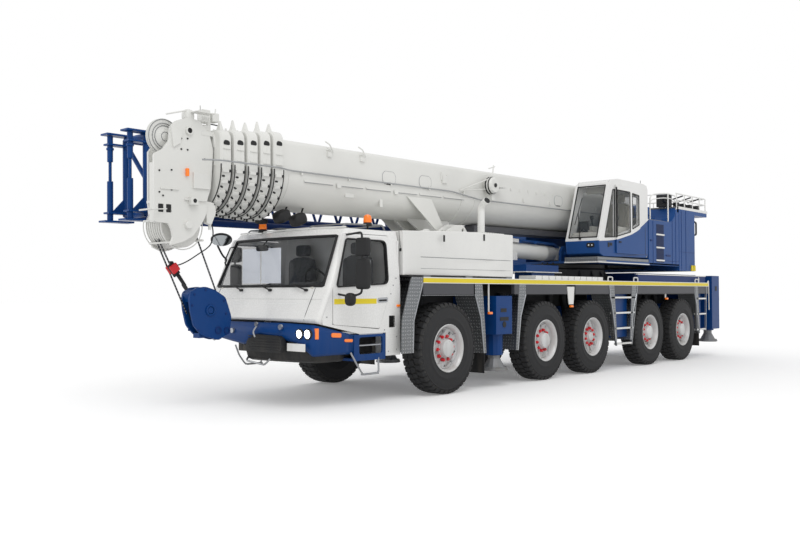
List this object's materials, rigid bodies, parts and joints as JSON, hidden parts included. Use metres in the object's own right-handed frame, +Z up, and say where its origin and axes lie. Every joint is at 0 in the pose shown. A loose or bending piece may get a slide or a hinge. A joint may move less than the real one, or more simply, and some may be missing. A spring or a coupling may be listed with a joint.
{
  "type": "mobile crane",
  "caption": "All-terrain telescopic mobile crane on a carrier with driving cab, slewing superstructure with operator cab, luffing boom, hook block, lattice jib and outriggers.",
  "frame": {"origin": "middle of the bounding box, on the ground", "axes": "+Z up, +Y towards the rear along the machine, +X to the machine's left"},
  "size_m": [3.42, 15.3772, 3.78],
  "materials": {
    "tyre": "matt black rubber",
    "wheel_rim": "silver paint",
    "dark_steel": "dark paint",
    "carrier_paint": "deep blue gloss",
    "deck_aluminium": "chequer plate",
    "interior_trim": "matt",
    "chrome": "polished",
    "superstructure_paint": "blue gloss",
    "white_paint": "gloss white"
  },
  "bodies": {
    "carrier": {"carrier_frame": "carrier_paint", "deck": "deck_aluminium", "engine_housing": "white_paint", "carrier_cab": "white_paint", "cab_interior": "interior_trim", "front_axles": "dark_steel", "rear_axles": "dark_steel"},
    "wheel_1_left": {"tyre_1_left": "tyre", "rim_1_left": "wheel_rim"},
    "steer_1_left": {"knuckle_1_left": "dark_steel"},
    "wheel_1_right": {"tyre_1_right": "tyre", "rim_1_right": "wheel_rim"},
    "steer_1_right": {"knuckle_1_right": "dark_steel"},
    "wheel_2_left": {"tyre_2_left": "tyre", "rim_2_left": "wheel_rim"},
    "steer_2_left": {"knuckle_2_left": "dark_steel"},
    "wheel_2_right": {"tyre_2_right": "tyre", "rim_2_right": "wheel_rim"},
    "steer_2_right": {"knuckle_2_right": "dark_steel"},
    "wheel_3_left": {"tyre_3_left": "tyre", "rim_3_left": "wheel_rim"},
    "wheel_3_right": {"tyre_3_right": "tyre", "rim_3_right": "wheel_rim"},
    "wheel_4_left": {"tyre_4_left": "tyre", "rim_4_left": "wheel_rim"},
    "steer_4_left": {"knuckle_4_left": "dark_steel"},
    "wheel_4_right": {"tyre_4_right": "tyre", "rim_4_right": "wheel_rim"},
    "steer_4_right": {"knuckle_4_right": "dark_steel"},
    "wheel_5_left": {"tyre_5_left": "tyre", "rim_5_left": "wheel_rim"},
    "steer_5_left": {"knuckle_5_left": "dark_steel"},
    "wheel_5_right": {"tyre_5_right": "tyre", "rim_5_right": "wheel_rim"},
    "steer_5_right": {"knuckle_5_right": "dark_steel"},
    "outrigger_beam_front_left": {"outrigger_beam_front_left": "carrier_paint"},
    "outrigger_jack_front_left": {"outrigger_jack_front_left": "dark_steel"},
    "outrigger_beam_front_right": {"outrigger_beam_front_right": "carrier_paint"},
    "outrigger_jack_front_right": {"outrigger_jack_front_right": "dark_steel"},
    "outrigger_beam_rear_left": {"outrigger_beam_rear_left": "carrier_paint"},
    "outrigger_jack_rear_left": {"outrigger_jack_rear_left": "dark_steel"},
    "outrigger_beam_rear_right": {"outrigger_beam_rear_right": "carrier_paint"},
    "outrigger_jack_rear_right": {"outrigger_jack_rear_right": "dark_steel"},
    "cab_door_left": {"cab_door_left": "white_paint"},
    "cab_door_right": {"cab_door_right": "white_paint"},
    "superstructure": {"superstructure": "superstructure_paint", "counterweight": "superstructure_paint"},
    "winch": {"winch_drum": "dark_steel"},
    "crane_cab": {"crane_cab": "white_paint"},
    "crane_cab_door": {"crane_cab_door": "white_paint"},
    "boom_base": {"boom_base": "white_paint", "lattice_jib": "carrier_paint"},
    "boom_section_1": {"boom_section_1": "white_paint"},
    "boom_section_2": {"boom_section_2": "white_paint"},
    "boom_section_3": {"boom_section_3": "white_paint"},
    "boom_section_4": {"boom_section_4": "white_paint"},
    "boom_section_5": {"boom_section_5": "white_paint"},
    "hook_block": {"hook_block": "carrier_paint"},
    "luff_cylinder": {"luff_cylinder": "white_paint"},
    "luff_rod": {"luff_rod": "chrome"}
  },
  "joints": [
    {"name": "steering_1_left", "type": "hinge", "parent": "carrier", "child": "steer_1_left", "pos_m": [1, -3.23138, 0.685], "axis": [0, 0, 1], "range_deg": [-35, 35]},
    {"name": "wheel_spin_1_left", "type": "hinge", "parent": "steer_1_left", "child": "wheel_1_left", "pos_m": [1.375, -3.23138, 0.685], "axis": [1, 0, 0], "continuous": true},
    {"name": "steering_1_right", "type": "hinge", "parent": "carrier", "child": "steer_1_right", "pos_m": [-1, -3.23138, 0.685], "axis": [0, 0, 1], "range_deg": [-35.2, 35.2]},
    {"name": "wheel_spin_1_right", "type": "hinge", "parent": "steer_1_right", "child": "wheel_1_right", "pos_m": [-1.375, -3.23138, 0.685], "axis": [1, 0, 0], "continuous": true},
    {"name": "steering_2_left", "type": "hinge", "parent": "carrier", "child": "steer_2_left", "pos_m": [1, -0.51138, 0.685], "axis": [0, 0, 1], "range_deg": [-15, 15]},
    {"name": "wheel_spin_2_left", "type": "hinge", "parent": "steer_2_left", "child": "wheel_2_left", "pos_m": [1.375, -0.51138, 0.685], "axis": [1, 0, 0], "continuous": true},
    {"name": "steering_2_right", "type": "hinge", "parent": "carrier", "child": "steer_2_right", "pos_m": [-1, -0.51138, 0.685], "axis": [0, 0, 1], "range_deg": [-15, 15]},
    {"name": "wheel_spin_2_right", "type": "hinge", "parent": "steer_2_right", "child": "wheel_2_right", "pos_m": [-1.375, -0.51138, 0.685], "axis": [1, 0, 0], "continuous": true},
    {"name": "wheel_spin_3_left", "type": "hinge", "parent": "carrier", "child": "wheel_3_left", "pos_m": [1.375, 1.13862, 0.685], "axis": [1, 0, 0], "continuous": true},
    {"name": "wheel_spin_3_right", "type": "hinge", "parent": "carrier", "child": "wheel_3_right", "pos_m": [-1.375, 1.13862, 0.685], "axis": [1, 0, 0], "continuous": true},
    {"name": "steering_4_left", "type": "hinge", "parent": "carrier", "child": "steer_4_left", "pos_m": [1, 3.57862, 0.685], "axis": [0, 0, 1], "range_deg": [-21.6, 21.6]},
    {"name": "wheel_spin_4_left", "type": "hinge", "parent": "steer_4_left", "child": "wheel_4_left", "pos_m": [1.375, 3.57862, 0.685], "axis": [1, 0, 0], "continuous": true},
    {"name": "steering_4_right", "type": "hinge", "parent": "carrier", "child": "steer_4_right", "pos_m": [-1, 3.57862, 0.685], "axis": [0, 0, 1], "range_deg": [-21.6, 21.6]},
    {"name": "wheel_spin_4_right", "type": "hinge", "parent": "steer_4_right", "child": "wheel_4_right", "pos_m": [-1.375, 3.57862, 0.685], "axis": [1, 0, 0], "continuous": true},
    {"name": "steering_5_left", "type": "hinge", "parent": "carrier", "child": "steer_5_left", "pos_m": [1, 5.22862, 0.685], "axis": [0, 0, 1], "range_deg": [-33.4, 33.4]},
    {"name": "wheel_spin_5_left", "type": "hinge", "parent": "steer_5_left", "child": "wheel_5_left", "pos_m": [1.375, 5.22862, 0.685], "axis": [1, 0, 0], "continuous": true},
    {"name": "steering_5_right", "type": "hinge", "parent": "carrier", "child": "steer_5_right", "pos_m": [-1, 5.22862, 0.685], "axis": [0, 0, 1], "range_deg": [-33.4, 33.4]},
    {"name": "wheel_spin_5_right", "type": "hinge", "parent": "steer_5_right", "child": "wheel_5_right", "pos_m": [-1.375, 5.22862, 0.685], "axis": [1, 0, 0], "continuous": true},
    {"name": "outrigger_beam_front_left_slide", "type": "slide", "parent": "carrier", "child": "outrigger_beam_front_left", "axis": [1, 0, 0], "range_m": [0, 1.6]},
    {"name": "outrigger_jack_front_left_slide", "type": "slide", "parent": "outrigger_beam_front_left", "child": "outrigger_jack_front_left", "axis": [0, 0, -1], "range_m": [0, 0.65]},
    {"name": "outrigger_beam_front_right_slide", "type": "slide", "parent": "carrier", "child": "outrigger_beam_front_right", "axis": [-1, 0, 0], "range_m": [0, 1.6]},
    {"name": "outrigger_jack_front_right_slide", "type": "slide", "parent": "outrigger_beam_front_right", "child": "outrigger_jack_front_right", "axis": [0, 0, -1], "range_m": [0, 0.65]},
    {"name": "outrigger_beam_rear_left_slide", "type": "slide", "parent": "carrier", "child": "outrigger_beam_rear_left", "axis": [1, 0, 0], "range_m": [0, 1.6]},
    {"name": "outrigger_jack_rear_left_slide", "type": "slide", "parent": "outrigger_beam_rear_left", "child": "outrigger_jack_rear_left", "axis": [0, 0, -1], "range_m": [0, 0.65]},
    {"name": "outrigger_beam_rear_right_slide", "type": "slide", "parent": "carrier", "child": "outrigger_beam_rear_right", "axis": [-1, 0, 0], "range_m": [0, 1.6]},
    {"name": "outrigger_jack_rear_right_slide", "type": "slide", "parent": "outrigger_beam_rear_right", "child": "outrigger_jack_rear_right", "axis": [0, 0, -1], "range_m": [0, 0.65]},
    {"name": "cab_door_left_hinge", "type": "hinge", "parent": "carrier", "child": "cab_door_left", "pos_m": [1.27, -5.53538, 1.35], "axis": [0, 0, -1], "range_deg": [0, 70]},
    {"name": "cab_door_right_hinge", "type": "hinge", "parent": "carrier", "child": "cab_door_right", "pos_m": [-1.27, -5.53538, 1.35], "axis": [0, 0, 1], "range_deg": [0, 70]},
    {"name": "slewing", "type": "hinge", "parent": "carrier", "child": "superstructure", "pos_m": [0, 2.46862, 2.02], "axis": [0, 0, 1], "continuous": true},
    {"name": "winch_spin", "type": "hinge", "parent": "superstructure", "child": "winch", "pos_m": [0, 5.88862, 2.96], "axis": [1, 0, 0], "continuous": true},
    {"name": "crane_cab_tilt", "type": "hinge", "parent": "superstructure", "child": "crane_cab", "pos_m": [0.97, 3.58062, 3.095], "axis": [-1, 0, 0], "range_deg": [0, 20]},
    {"name": "crane_cab_door_slide", "type": "slide", "parent": "crane_cab", "child": "crane_cab_door", "axis": [0, 1, 0], "range_m": [0, 0.7]},
    {"name": "boom_luff", "type": "hinge", "parent": "superstructure", "child": "boom_base", "pos_m": [0, 4.91862, 3.05], "axis": [-1, 0, 0], "range_deg": [0, 82]},
    {"name": "telescope_1", "type": "slide", "parent": "boom_base", "child": "boom_section_1", "axis": [0, -0.9999, -0.0131], "range_m": [0, 9.4]},
    {"name": "telescope_2", "type": "slide", "parent": "boom_section_1", "child": "boom_section_2", "axis": [0, -0.9999, -0.0131], "range_m": [0, 9.4]},
    {"name": "telescope_3", "type": "slide", "parent": "boom_section_2", "child": "boom_section_3", "axis": [0, -0.9999, -0.0131], "range_m": [0, 9.4]},
    {"name": "telescope_4", "type": "slide", "parent": "boom_section_3", "child": "boom_section_4", "axis": [0, -0.9999, -0.0131], "range_m": [0, 9.4]},
    {"name": "telescope_5", "type": "slide", "parent": "boom_section_4", "child": "boom_section_5", "axis": [0, -0.9999, -0.0131], "range_m": [0, 9.4]},
    {"name": "hook_swing", "type": "hinge", "parent": "boom_section_5", "child": "hook_block", "pos_m": [0, -7.12328, 2.35232], "axis": [-1, 0, 0], "range_deg": [-44.5, 0]},
    {"name": "luff_cylinder_tilt", "type": "hinge", "parent": "superstructure", "child": "luff_cylinder", "pos_m": [0, 2.06862, 2.31], "axis": [-1, 0, 0], "range_deg": [0, 99]},
    {"name": "luff_rod_slide", "type": "slide", "parent": "luff_cylinder", "child": "luff_rod", "axis": [0, -0.9999, 0.015], "range_m": [0, 3.548]}
  ],
  "couplings": [
    {"joint": "steering_1_right", "follows": "steering_1_left", "ratio": 1},
    {"joint": "steering_2_left", "follows": "steering_1_left", "ratio": 0.4229},
    {"joint": "steering_2_right", "follows": "steering_1_left", "ratio": 0.4229},
    {"joint": "steering_4_left", "follows": "steering_1_left", "ratio": -0.6114},
    {"joint": "steering_4_right", "follows": "steering_1_left", "ratio": -0.6114},
    {"joint": "steering_5_left", "follows": "steering_1_left", "ratio": -0.9486},
    {"joint": "steering_5_right", "follows": "steering_1_left", "ratio": -0.9486},
    {"joint": "hook_swing", "follows": "boom_luff", "ratio": -0.53659},
    {"joint": "luff_cylinder_tilt", "follows": "boom_luff", "ratio": 1.2011},
    {"joint": "luff_rod_slide", "follows": "boom_luff", "m_per_rad": 2.4653}
  ]
}
